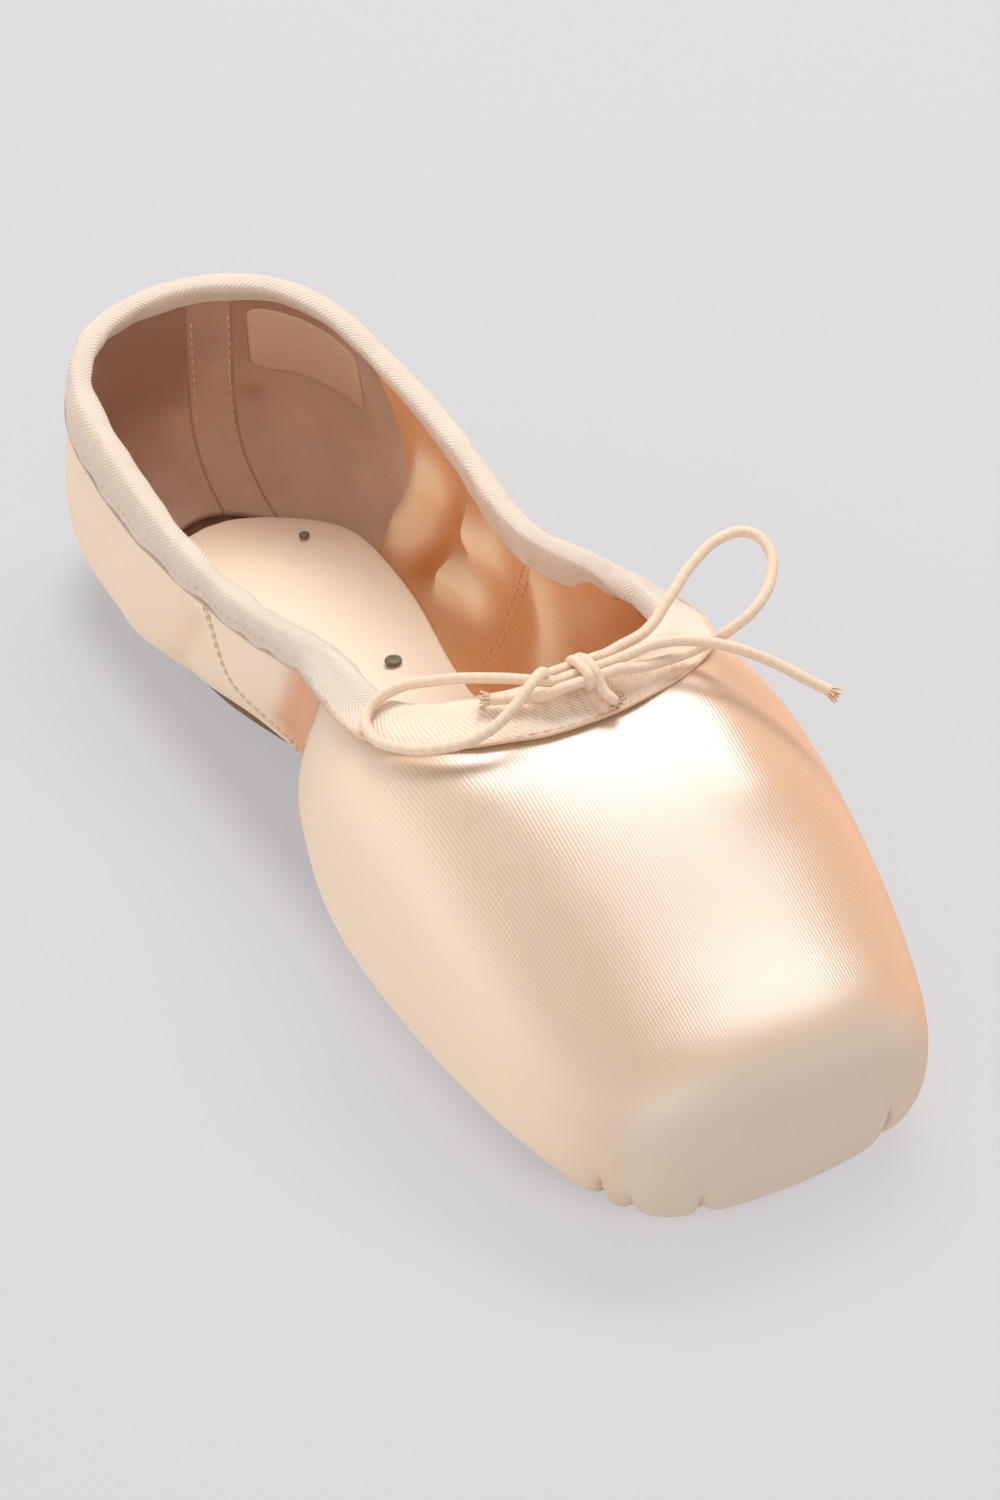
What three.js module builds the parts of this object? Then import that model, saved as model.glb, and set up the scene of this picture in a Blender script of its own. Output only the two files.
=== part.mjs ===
// A ballet pointe shoe, standing empty on its sole.
// Millimetres, +Z up, toe towards -Y. The origin is on the floor, midway along the shoe.
import * as THREE from "three";

// Overall sizes of the last, the block that the shoe is shaped on.
const LENGTH = 232;
const BALL_WIDTH = 83;
const VAMP_HEIGHT = 55;
const HEEL_HEIGHT = 47.5;

// The last, from the heel (0) to the toe platform (1). half is a share of half the ball width.
// crown, belly and keel are shares of the vamp height: the top, the widest line and the underside.
// over and under say how square the section is above and below its widest line.
const LAST_ROWS = [
  { at: 0.0, half: 0.72, crown: 1.6, belly: 0.45, keel: 0.056, over: 1.6, under: 2.7 },
  { at: 0.12, half: 0.76, crown: 1.6, belly: 0.44, keel: 0.056, over: 1.6, under: 3.0 },
  { at: 0.28, half: 0.75, crown: 1.5, belly: 0.5, keel: 0.08, over: 1.8, under: 2.9 },
  { at: 0.42, half: 0.68, crown: 1.3, belly: 0.6, keel: 0.11, over: 2.2, under: 2.4 },
  { at: 0.5, half: 0.77, crown: 1.14, belly: 0.57, keel: 0.082, over: 2.5, under: 2.6 },
  { at: 0.56, half: 0.89, crown: 1.07, belly: 0.52, keel: 0.06, over: 2.7, under: 3.0 },
  { at: 0.61, half: 0.96, crown: 1.05, belly: 0.52, keel: 0.056, over: 2.9, under: 3.2 },
  { at: 0.68, half: 1.0, crown: 1.07, belly: 0.51, keel: 0.056, over: 3.0, under: 3.2 },
  { at: 0.8, half: 0.97, crown: 0.93, belly: 0.43, keel: 0.052, over: 2.9, under: 3.1 },
  { at: 0.92, half: 0.84, crown: 0.7, belly: 0.34, keel: 0.036, over: 2.7, under: 2.9 },
  { at: 1.0, half: 0.67, crown: 0.58, belly: 0.29, keel: 0.03, over: 2.7, under: 2.8 },
];
const TOE_CAP = 14;
const TOE_SQUARE = 4.2;
const HEEL_CAP = 30;
const HEEL_SQUARE = 2.5;

// The collar as a plan outline: an arc in front of one centre, an arc behind the other, and a
// line of the tabled half widths between. height is a share of the heel height.
const FRONT_CENTRE_AT = 0.6;
const HEEL_CENTRE_AT = 0.13;
const THROAT_DEPTH = 18;
const THROAT_SQUARE = 2.15;
const THROAT_FROM_AT = 0.63;
const THROAT_FULL_AT = 0.675;
const HEEL_LEAN = 26;
const COLLAR_ROWS = [
  { at: 0.0, half: 24, height: 1.0 },
  { at: 0.13, half: 25, height: 0.91 },
  { at: 0.33, half: 25, height: 0.82 },
  { at: 0.5, half: 27, height: 0.95 },
  { at: 0.6, half: 29, height: 1.12 },
  { at: 0.68, half: 29, height: 1.21 },
];

// The wall: stiff in the box, soft in the quarters and along the collar.
const BOX_WALL = 2.4;
const QUARTER_WALL = 1.3;
const BOX_FROM_AT = 0.48;
const BOX_FULL_AT = 0.62;
const COLLAR_SOFT = 12;
const COLLAR_FADE = 20;

// The pivot of the rays that find the surface, and how many half-planes and rows they make.
const PIVOT_HEIGHT = 18;
const HALF_PLANES = 32;
const ROWS = 18;
const CORNER_WEIGHT = 14;
const MERIDIAN_SAMPLES = 90;
const OUTLINE_SAMPLES = 360;
const HALVINGS = 40;

// The outsole and the insole. half is in millimetres.
const GAP = 0.3;
const LAYER_GAP = 0.5;
const SOLE_THICKNESS = 2.55;
const SOLE_HEEL_AT = 0.035;
const SOLE_TIP_AT = 0.905;
const SOLE_ROWS = [
  { at: 0.035, half: 17 },
  { at: 0.12, half: 20 },
  { at: 0.28, half: 17 },
  { at: 0.42, half: 13.5 },
  { at: 0.55, half: 18.5 },
  { at: 0.68, half: 24.5 },
  { at: 0.8, half: 23 },
  { at: 0.905, half: 15 },
];
const SOLE_LAP = 4.5;
const INSOLE_THICKNESS = 2;
const INSOLE_HEEL_AT = 0.08;
const INSOLE_TIP_AT = 0.93;
const INSOLE_CLEARANCE = 1.6;
const TIP_ROUND = 0.09;
const TIP_HALF = 0.8;
const PLATE_STATIONS = 34;
const PLATE_SHARES = [-1, -0.85, -0.6, -0.25, 0.25, 0.6, 0.85, 1];

// The drawstring casing folded over the collar.
const CASING_SIDE = 7.5;
const CASING_THROAT = 10;
const CASING_INSIDE = 6.5;
const CASING_GAP = 0.45;
const CASING_LEAF = 0.75;
const CASING_PUFF = 1.1;

// Where the casing's section has its points: shares of its width outside, of its thickness over
// the roll, and of its width inside. The puff swells the roll, less so its height.
const CASING_OUTSIDE_SHARES = [1, 0.72, 0.44, 0.2];
const CASING_ROLL_SHARES = [-0.75, -0.4, 0, 0.4, 0.75];
const CASING_INSIDE_SHARES = [0.3, 0.65, 1];
const CASING_BACK_INSIDE = [1, 0.5];
const CASING_BACK_OUTSIDE = [0.33, 0.67, 1];
const ROLL_PUFF = 0.6;

// A bare woven label inside the heel, on the right.
const LABEL_FROM = 0.535;
const LABEL_TO = 0.6;
const LABEL_TOP = 8;
const LABEL_HEIGHT = 12;
const LABEL_THICKNESS = 0.5;
const LABEL_SHARES = [0, 0.25, 0.5, 0.75, 1];

// Two nail heads on the insole, as shares of half the ball width and of the length.
const TACK_ROWS = [
  { name: "tack_waist", side: 0.18, at: 0.336, across: 3.2 },
  { name: "tack_heel", side: 0.3, at: 0.135, across: 2 },
];
const TACK_THICKNESS = 0.7;
const TACK_GAP = 0.5;
const TACK_SIDES = 16;

// The bow of drawstring cord. side is a share of half the ball width, at of the length, high of
// the vamp height. Three strands meet the knot on each side of it: 1 rear, 0 middle, -1 front.
const CORD = 1.9;
const CORD_SIDES = 8;
const STRAND_PITCH = 2.3;
const KNOT = { side: 0.035, at: 0.6985, high: 1.163, half: 3.2, across: 2.7, flat: 0.8, wide: 1.25 };
const KNOT_SIDES = 20;
// The knot's outline: along is a share of its half length, across of its half thickness.
const KNOT_PROFILE = [
  { along: -1, across: 0.62 },
  { along: -0.8, across: 0.9 },
  { along: -0.42, across: 1 },
  { along: -0.08, across: 0.84 },
  { along: 0.22, across: 0.8 },
  { along: 0.52, across: 0.94 },
  { along: 0.82, across: 0.84 },
  { along: 1, across: 0.58 },
];
const LEFT_LOOP_ROWS = [
  { side: -0.15, at: 0.6975, high: 1.205 },
  { side: -0.22, at: 0.7055, high: 1.205 },
  { side: -0.318, at: 0.712, high: 1.165 },
  { side: -0.458, at: 0.714, high: 1.112 },
  { side: -0.606, at: 0.704, high: 1.079 },
  { side: -0.733, at: 0.675, high: 1.036 },
  { side: -0.766, at: 0.644, high: 1.015 },
  { side: -0.723, at: 0.6265, high: 1.027 },
  { side: -0.615, at: 0.625, high: 1.072 },
  { side: -0.457, at: 0.642, high: 1.115 },
  { side: -0.257, at: 0.6725, high: 1.15 },
  { side: -0.15, at: 0.688, high: 1.152 },
];
const RIGHT_LOOP_ROWS = [
  { side: 0.224, at: 0.687, high: 1.168 },
  { side: 0.365, at: 0.6847, high: 1.188 },
  { side: 0.496, at: 0.6744, high: 1.236 },
  { side: 0.663, at: 0.6594, high: 1.291 },
  { side: 0.813, at: 0.6539, high: 1.327 },
  { side: 0.922, at: 0.6591, high: 1.327 },
  { side: 0.957, at: 0.6751, high: 1.3 },
  { side: 0.916, at: 0.692, high: 1.264 },
  { side: 0.799, at: 0.7075, high: 1.218 },
  { side: 0.672, at: 0.7081, high: 1.165 },
  { side: 0.57, at: 0.7, high: 1.11 },
  { side: 0.389, at: 0.704, high: 1.118 },
  { side: 0.25, at: 0.7075, high: 1.14 },
];
const RIGHT_END_ROWS = [
  { side: 0.25, at: 0.6995, high: 1.172 },
  { side: 0.36, at: 0.7, high: 1.178 },
  { side: 0.509, at: 0.7075, high: 1.168 },
  { side: 0.607, at: 0.718, high: 1.152 },
  { side: 0.755, at: 0.7334, high: 1.1 },
  { side: 0.87, at: 0.7512, high: 1.045 },
  { side: 0.948, at: 0.764, high: 1.009 },
];
const LEFT_END_ROWS = [
  { side: -0.15, at: 0.7045, high: 1.142 },
  { side: -0.221, at: 0.6968, high: 1.134 },
  { side: -0.341, at: 0.6855, high: 1.129 },
];

// Plain colours: satin, cotton tape, leather, board, woven label, nail steel and cord.
const SATIN = 0xebc9a8;
const TAPE = 0xf0d9c6;
const LEATHER = 0x9a6b47;
const BOARD = 0xe9cfb2;
const WOVEN = 0xeadfd0;
const STEEL = 0x4c524a;
const CORD_COLOUR = 0xf0dcc8;

const yAt = (at) => LENGTH / 2 - at * LENGTH;
const atOf = (y) => 0.5 - y / LENGTH;

function smooth(from, to, value) {
  const share = Math.min(Math.max((value - from) / (to - from), 0), 1);
  return share * share * (3 - 2 * share);
}

// A natural cubic spline through one column of a table.
function column(rows, name) {
  const x = rows.map((row) => row.at);
  const y = rows.map((row) => row[name]);
  const n = x.length;
  const bend = new Array(n).fill(0);
  const scratch = new Array(n).fill(0);
  for (let i = 1; i < n - 1; i++) {
    const share = (x[i] - x[i - 1]) / (x[i + 1] - x[i - 1]);
    const lower = share * bend[i - 1] + 2;
    bend[i] = (share - 1) / lower;
    const turn = (y[i + 1] - y[i]) / (x[i + 1] - x[i]) - (y[i] - y[i - 1]) / (x[i] - x[i - 1]);
    scratch[i] = ((6 * turn) / (x[i + 1] - x[i - 1]) - share * scratch[i - 1]) / lower;
  }
  for (let i = n - 2; i >= 0; i--) bend[i] = bend[i] * bend[i + 1] + scratch[i];
  return (at) => {
    const t = Math.min(Math.max(at, x[0]), x[n - 1]);
    let i = 0;
    while (i < n - 2 && t > x[i + 1]) i++;
    const step = x[i + 1] - x[i];
    const a = (x[i + 1] - t) / step;
    const b = 1 - a;
    const curve = ((a ** 3 - a) * bend[i] + (b ** 3 - b) * bend[i + 1]) * step * step;
    return a * y[i] + b * y[i + 1] + curve / 6;
  };
}

const LAST_COLUMNS = ["half", "crown", "belly", "keel", "over", "under"];
const last = Object.fromEntries(LAST_COLUMNS.map((name) => [name, column(LAST_ROWS, name)]));
const collarHalf = column(COLLAR_ROWS, "half");
const collarHeight = column(COLLAR_ROWS, "height");
const soleTable = column(SOLE_ROWS, "half");

// How far into the rounded toe or heel a station is: 0 before it, 1 at the very end.
function capShare(at) {
  const toe = (at * LENGTH - (LENGTH - TOE_CAP)) / TOE_CAP;
  const heel = (HEEL_CAP - at * LENGTH) / HEEL_CAP;
  if (toe > 0) return { share: toe, square: TOE_SQUARE };
  return { share: Math.max(0, heel), square: HEEL_SQUARE };
}

// How far out a point is, as a share of the way to the last's surface.
function level(x, y, z) {
  const at = atOf(y);
  const half = (last.half(at) * BALL_WIDTH) / 2;
  const belly = last.belly(at) * VAMP_HEIGHT;
  const above = z > belly;
  const end = above ? last.crown(at) * VAMP_HEIGHT - belly : belly - last.keel(at) * VAMP_HEIGHT;
  const square = above ? last.over(at) : last.under(at);
  const section = (Math.abs(x / half) ** square + Math.abs((z - belly) / end) ** square) ** (1 / square);
  const cap = capShare(at);
  return (section ** cap.square + cap.share ** cap.square) ** (1 / cap.square);
}

function normalAt(point) {
  const step = 0.05;
  const { x, y, z } = point;
  return new THREE.Vector3(
    level(x + step, y, z) - level(x - step, y, z),
    level(x, y + step, z) - level(x, y - step, z),
    level(x, y, z + step) - level(x, y, z - step),
  ).normalize();
}

// The height of the last's underside at a place in plan.
function underAt(x, at) {
  const cap = capShare(at);
  const shrink = (1 - cap.share ** cap.square) ** (1 / cap.square);
  const half = (last.half(at) * BALL_WIDTH) / 2;
  const belly = last.belly(at) * VAMP_HEIGHT;
  const square = last.under(at);
  const inner = Math.max(0, shrink ** square - Math.abs(x / half) ** square);
  return belly - (belly - last.keel(at) * VAMP_HEIGHT) * inner ** (1 / square);
}

// The last's half width at a height below its widest line.
function halfAt(at, height) {
  const cap = capShare(at);
  const shrink = (1 - cap.share ** cap.square) ** (1 / cap.square);
  const belly = last.belly(at) * VAMP_HEIGHT;
  const square = last.under(at);
  const drop = (belly - height) / (belly - last.keel(at) * VAMP_HEIGHT);
  const inner = Math.max(0, shrink ** square - Math.abs(drop) ** square);
  return ((last.half(at) * BALL_WIDTH) / 2) * inner ** (1 / square);
}

// A half-plane on the spine, by one number: 0 to 1 fans round the front centre from the toe to
// the left side, 1 to 2 runs back to the heel centre, and 2 to 3 fans round to the heel.
function planeAt(number) {
  const front = yAt(FRONT_CENTRE_AT);
  const heel = yAt(HEEL_CENTRE_AT);
  if (number <= 1) {
    const angle = (number * Math.PI) / 2;
    return { y: front, outX: -Math.sin(angle), outY: -Math.cos(angle), zone: "front" };
  }
  if (number <= 2) return { y: front + (heel - front) * (number - 1), outX: -1, outY: 0, zone: "side" };
  const angle = ((number - 2) * Math.PI) / 2;
  return { y: heel, outX: -Math.cos(angle), outY: Math.sin(angle), zone: "heel" };
}

// Where a ray from the pivot meets the last's surface. The angle is 0 straight up.
function surfaceAt(plane, angle) {
  let near = 0;
  let far = LENGTH;
  const side = Math.sin(angle);
  const up = Math.cos(angle);
  const at = (reach) => [
    plane.outX * side * reach,
    plane.y + plane.outY * side * reach,
    PIVOT_HEIGHT + up * reach,
  ];
  for (let i = 0; i < HALVINGS; i++) {
    const middle = (near + far) / 2;
    if (level(...at(middle)) < 1) near = middle;
    else far = middle;
  }
  return new THREE.Vector3(...at(near));
}

// The collar's reach from the spine in a half-plane.
function collarReach(plane) {
  const arc = (depth, width, square) =>
    (Math.abs(plane.outY / depth) ** square + Math.abs(plane.outX / width) ** square) ** (-1 / square);
  if (plane.zone === "front") return arc(THROAT_DEPTH, collarHalf(FRONT_CENTRE_AT), THROAT_SQUARE);
  if (plane.zone === "heel") return arc(HEEL_LEAN, collarHalf(HEEL_CENTRE_AT), 2);
  return collarHalf(atOf(plane.y));
}

function collarAngle(plane) {
  const reach = collarReach(plane);
  const height = collarHeight(atOf(plane.y + plane.outY * reach)) * HEEL_HEIGHT;
  return Math.atan2(reach, height - PIVOT_HEIGHT);
}

// The outsole's half width, with its tip and heel rounded.
function soleHalf(at) {
  const tip = Math.max(0, (at - (SOLE_TIP_AT - TIP_ROUND)) / TIP_ROUND);
  const heel = Math.max(0, (SOLE_HEEL_AT + TIP_ROUND - at) / TIP_ROUND);
  const end = Math.min(1, Math.max(tip, heel));
  return Math.max(soleTable(at) * Math.sqrt(1 - end * end), TIP_HALF);
}

// The angle at which the upper ends under the shoe, a lap inside the edge of the outsole.
function lapAngle(plane) {
  let near = 0;
  let far = LENGTH;
  for (let i = 0; i < HALVINGS; i++) {
    const middle = (near + far) / 2;
    const at = atOf(plane.y + plane.outY * middle);
    const inside = at > SOLE_HEEL_AT && at < SOLE_TIP_AT && Math.abs(plane.outX * middle) < soleHalf(at);
    if (inside) near = middle;
    else far = middle;
  }
  const reach = near - SOLE_LAP;
  const height = underAt(plane.outX * reach, atOf(plane.y + plane.outY * reach));
  return Math.PI - Math.atan2(reach, PIVOT_HEIGHT - height);
}

// One line down the upper in a half-plane, from the collar to the lap, finely sampled.
// effort grows with length and with turning, so that even steps of it crowd into the corners.
function meridian(number) {
  const plane = planeAt(number);
  const start = collarAngle(plane);
  const end = lapAngle(plane);
  const samples = [];
  for (let i = 0; i <= MERIDIAN_SAMPLES; i++) {
    const point = surfaceAt(plane, start + ((end - start) * i) / MERIDIAN_SAMPLES);
    const normal = normalAt(point);
    const before = samples[i - 1];
    const length = before ? point.distanceTo(before.point) : 0;
    const turn = before ? normal.angleTo(before.normal) : 0;
    const run = before ? before.run + length : 0;
    const effort = before ? before.effort + length + turn * CORNER_WEIGHT : 0;
    samples.push({ point, normal, run, effort });
  }
  return samples;
}

// The sample at an amount of run or effort down a meridian.
function sampleAt(samples, key, amount) {
  let i = 1;
  while (i < samples.length - 1 && samples[i][key] < amount) i++;
  const before = samples[i - 1];
  const after = samples[i];
  const share = (amount - before[key]) / (after[key] - before[key]);
  return {
    point: before.point.clone().lerp(after.point, share),
    normal: before.normal.clone().lerp(after.normal, share).normalize(),
    run: before.run + (after.run - before.run) * share,
  };
}

// The wall at a station, away from the collar.
function boxWall(at) {
  return QUARTER_WALL + (BOX_WALL - QUARTER_WALL) * smooth(BOX_FROM_AT, BOX_FULL_AT, at);
}

// The wall at a point of the outer face, by its run below the collar.
function wallAt(point, run) {
  const stiff = smooth(COLLAR_SOFT, COLLAR_SOFT + COLLAR_FADE, run);
  return QUARTER_WALL + (boxWall(atOf(point.y)) - QUARTER_WALL) * stiff;
}

// The half-planes crowd where the outline at the pivot's height turns, as the rows do.
function planeNumbers() {
  const stops = [];
  for (let i = 0; i <= OUTLINE_SAMPLES; i++) {
    const number = (3 * i) / OUTLINE_SAMPLES;
    const point = surfaceAt(planeAt(number), Math.PI / 2);
    const normal = normalAt(point);
    const before = stops[i - 1];
    const length = before ? point.distanceTo(before.point) : 0;
    const turn = before ? normal.angleTo(before.normal) : 0;
    const effort = before ? before.effort + length + turn * CORNER_WEIGHT : 0;
    stops.push({ number, point, normal, effort });
  }
  const total = stops[OUTLINE_SAMPLES].effort;
  const numbers = [];
  for (let i = 0; i <= HALF_PLANES; i++) {
    const wanted = (total * i) / HALF_PLANES;
    let k = 1;
    while (k < OUTLINE_SAMPLES && stops[k].effort < wanted) k++;
    const share = (wanted - stops[k - 1].effort) / (stops[k].effort - stops[k - 1].effort);
    numbers.push(stops[k - 1].number + (stops[k].number - stops[k - 1].number) * share);
  }
  return numbers;
}

// All the meridians round the shoe: toe, left side, heel, right side.
const leftMeridians = planeNumbers().map(meridian);
const mirrored = (samples) =>
  samples.map((sample) => ({
    ...sample,
    point: new THREE.Vector3(-sample.point.x, sample.point.y, sample.point.z),
    normal: new THREE.Vector3(-sample.normal.x, sample.normal.y, sample.normal.z),
  }));
const meridians = [...leftMeridians, ...leftMeridians.slice(1, -1).reverse().map(mirrored)];

// A place by its run below the collar and its lift out of the outer face, or with inside set,
// its lift into the shoe from the inner face. A run below 0 is past the collar's edge.
function placeAt(samples, run, lift, inside) {
  const sample = sampleAt(samples, "run", Math.max(run, 0));
  const wall = inside ? wallAt(sample.point, sample.run) : 0;
  const place = sample.point.clone().addScaledVector(sample.normal, inside ? -wall - lift : lift);
  if (run < 0) {
    const up = samples[0].point.clone().sub(samples[1].point).normalize();
    place.addScaledVector(up, -run);
  }
  return place;
}

// A solid skinned over a row of loops that have as many points each. An open row is closed at
// its ends by joining each loop's first half to its second.
function skin(loops, ring) {
  const across = loops[0].length;
  const positions = loops.flat().flatMap((point) => [point.x, point.y, point.z]);
  const faces = [];
  const quad = (a, b, c, d) => faces.push([a, b, c], [a, c, d]);
  const spans = ring ? loops.length : loops.length - 1;
  for (let i = 0; i < spans; i++) {
    const here = i * across;
    const next = ((i + 1) % loops.length) * across;
    for (let j = 0; j < across; j++) {
      const k = (j + 1) % across;
      quad(here + j, next + j, next + k, here + k);
    }
  }
  const lastLoop = (loops.length - 1) * across;
  for (let j = 0; !ring && j < across / 2 - 1; j++) {
    const k = across - 1 - j;
    quad(j, j + 1, k - 1, k);
    quad(lastLoop + j, lastLoop + k, lastLoop + k - 1, lastLoop + j + 1);
  }
  const corner = (i) => new THREE.Vector3().fromArray(positions, 3 * i);
  const volume = faces.reduce((sum, [a, b, c]) => sum + corner(a).dot(corner(b).cross(corner(c))), 0);
  const index = faces.flatMap(([a, b, c]) => (volume > 0 ? [a, b, c] : [a, c, b]));
  const geometry = new THREE.BufferGeometry();
  geometry.setAttribute("position", new THREE.Float32BufferAttribute(positions, 3));
  geometry.setIndex(index);
  geometry.computeVertexNormals();
  return geometry;
}

const shoe = new THREE.Group();
shoe.name = "pointe_shoe";

function addPart(name, geometry, colour, roughness, metalness = 0) {
  const material = new THREE.MeshStandardMaterial({ color: colour, roughness, metalness });
  const mesh = new THREE.Mesh(geometry, material);
  mesh.name = name;
  shoe.add(mesh);
}

// The upper: each loop runs down the outer face and back up the inner one.
function upperLoop(samples) {
  const total = samples[samples.length - 1].effort;
  const outer = [];
  const inner = [];
  for (let i = 0; i <= ROWS; i++) {
    const sample = sampleAt(samples, "effort", (total * i) / ROWS);
    outer.push(sample.point);
    inner.unshift(sample.point.clone().addScaledVector(sample.normal, -wallAt(sample.point, sample.run)));
  }
  return [...outer, ...inner];
}
addPart("upper", skin(meridians.map(upperLoop), true), SATIN, 0.45);

// A plate across the shoe, between two stations, with a top and a bottom by place.
function plate(from, to, half, bottom, top) {
  const loops = [];
  for (let i = 0; i <= PLATE_STATIONS; i++) {
    const at = from + ((to - from) * (1 - Math.cos((Math.PI * i) / PLATE_STATIONS))) / 2;
    const places = PLATE_SHARES.map((share) => share * half(at));
    const row = (height) => places.map((x) => new THREE.Vector3(x, yAt(at), height(x, at)));
    loops.push([...row(top), ...row(bottom).reverse()]);
  }
  return skin(loops, false);
}

// The outsole is flat on the floor at the heel and the ball, and lifts at the waist.
const soleTop = (x, at) => underAt(x, at) - LAYER_GAP;
const soleBottom = (_, at) => Math.max(0, last.keel(at) * VAMP_HEIGHT - LAYER_GAP - SOLE_THICKNESS);
addPart("outsole", plate(SOLE_HEEL_AT, SOLE_TIP_AT, soleHalf, soleBottom, soleTop), LEATHER, 0.7);

// The insole lies on the turned-in edge of the upper.
function insoleBottom(x, at) {
  const rise = underAt(Math.abs(x) + 0.5, at) - underAt(Math.abs(x) - 0.5, at);
  return underAt(x, at) + boxWall(at) * Math.sqrt(1 + rise * rise) + LAYER_GAP;
}
const insoleTop = (x, at) => insoleBottom(x, at) + INSOLE_THICKNESS;
function insoleHalf(at) {
  const tip = Math.max(0, (at - (INSOLE_TIP_AT - TIP_ROUND)) / TIP_ROUND);
  const heel = Math.max(0, (INSOLE_HEEL_AT + TIP_ROUND - at) / TIP_ROUND);
  const end = Math.min(1, Math.max(tip, heel));
  const room = halfAt(at, insoleTop(0, at)) - boxWall(at) - INSOLE_CLEARANCE;
  return Math.max(room * Math.sqrt(1 - end * end), TIP_HALF);
}
addPart("insole", plate(INSOLE_HEEL_AT, INSOLE_TIP_AT, insoleHalf, insoleBottom, insoleTop), BOARD, 0.8);

// The casing: down the outside, over the puffed edge, down the inside and back along the gap.
function casingLoop(samples) {
  const wall = wallAt(samples[0].point, 0);
  const throat = smooth(THROAT_FROM_AT, THROAT_FULL_AT, atOf(samples[0].point.y));
  const width = CASING_SIDE + (CASING_THROAT - CASING_SIDE) * throat;
  const leaf = CASING_GAP + CASING_LEAF;
  const outside = CASING_OUTSIDE_SHARES.map((share) => {
    const puff = CASING_PUFF * (1 - share) ** 2;
    return placeAt(samples, width * share, leaf + puff, false);
  });
  const roll = CASING_ROLL_SHARES.map((share) => {
    const lift = -wall / 2 - share * (wall / 2 + leaf + CASING_PUFF);
    const rise = (leaf + CASING_PUFF * ROLL_PUFF) * Math.sqrt(1 - share * share);
    return placeAt(samples, -rise, lift, false);
  });
  const inside = CASING_INSIDE_SHARES.map((share) => {
    const puff = CASING_PUFF * (1 - share) ** 2;
    return placeAt(samples, CASING_INSIDE * share, leaf + puff, true);
  });
  const back = [
    ...CASING_BACK_INSIDE.map((share) => placeAt(samples, CASING_INSIDE * share, CASING_GAP, true)),
    placeAt(samples, -CASING_GAP, CASING_GAP, true),
    placeAt(samples, -CASING_GAP, CASING_GAP, false),
    ...CASING_BACK_OUTSIDE.map((share) => placeAt(samples, width * share, CASING_GAP, false)),
  ];
  return [...outside, ...roll, ...inside, ...back];
}
addPart("casing", skin(meridians.map(casingLoop), true), TAPE, 0.55);

// The label: a thin patch on the inner face between two shares of the way round the shoe.
function labelLoop(samples) {
  const runs = LABEL_SHARES.map((share) => LABEL_TOP + LABEL_HEIGHT * share);
  const far = runs.map((run) => placeAt(samples, run, GAP + LABEL_THICKNESS, true));
  const near = runs.map((run) => placeAt(samples, run, GAP, true));
  return [...far, ...near.reverse()];
}
const labelFrom = Math.round(LABEL_FROM * meridians.length);
const labelTo = Math.round(LABEL_TO * meridians.length);
addPart("label", skin(meridians.slice(labelFrom, labelTo + 1).map(labelLoop), false), WOVEN, 0.8);

// The nail heads: low discs that follow the insole's slope along the shoe.
for (const { name, side, at, across } of TACK_ROWS) {
  const x = (side * BALL_WIDTH) / 2;
  const head = new THREE.CylinderGeometry(across / 2, across / 2, TACK_THICKNESS, TACK_SIDES);
  head.rotateX(Math.PI / 2);
  head.rotateX(Math.atan2(insoleTop(x, at) - insoleTop(x, at + 0.01), 0.01 * LENGTH));
  head.translate(x, yAt(at), insoleTop(x, at) + TACK_GAP + TACK_THICKNESS / 2);
  addPart(name, head, STEEL, 0.4, 0.8);
}

// The bow: a knot with two bulges, two loops and two loose ends.
const spot = ({ side, at, high }) => new THREE.Vector3((side * BALL_WIDTH) / 2, yAt(at), high * VAMP_HEIGHT);
const knotCentre = spot(KNOT);
function strand(side, row) {
  const out = KNOT.half + GAP;
  const place = (x) => new THREE.Vector3(side * x, row * STRAND_PITCH, 0).add(knotCentre);
  return [place(out), place(out + CORD)];
}
const knotOutline = [
  new THREE.Vector2(0, -KNOT.half),
  ...KNOT_PROFILE.map((row) => new THREE.Vector2(row.across * KNOT.across, row.along * KNOT.half)),
  new THREE.Vector2(0, KNOT.half),
];
const knot = new THREE.LatheGeometry(knotOutline, KNOT_SIDES);
knot.rotateZ(-Math.PI / 2);
knot.scale(1, KNOT.wide, KNOT.flat);
knot.translate(knotCentre.x, knotCentre.y, knotCentre.z);
addPart("knot", knot, CORD_COLOUR, 0.6);

function cord(name, points, steps) {
  const angles = Array.from({ length: CORD_SIDES }, (_, i) => (2 * Math.PI * i) / CORD_SIDES);
  const corner = (angle) => new THREE.Vector2(Math.cos(angle), Math.sin(angle)).multiplyScalar(CORD / 2);
  const shape = new THREE.Shape(angles.map(corner));
  const extrudePath = new THREE.CatmullRomCurve3(points, false, "centripetal");
  addPart(name, new THREE.ExtrudeGeometry(shape, { steps, extrudePath }), CORD_COLOUR, 0.6);
}
cord("loop_left", [...strand(-1, 1), ...LEFT_LOOP_ROWS.map(spot), ...strand(-1, 0).reverse()], 48);
cord("loop_right", [...strand(1, 1), ...RIGHT_LOOP_ROWS.map(spot), ...strand(1, -1).reverse()], 48);
cord("end_right", [...strand(1, 0), ...RIGHT_END_ROWS.map(spot)], 22);
cord("end_left", [...strand(-1, -1), ...LEFT_END_ROWS.map(spot)], 10);

export default shoe;
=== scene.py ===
import math
import bpy
import numpy as np
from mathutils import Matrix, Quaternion, Vector, noise


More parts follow.
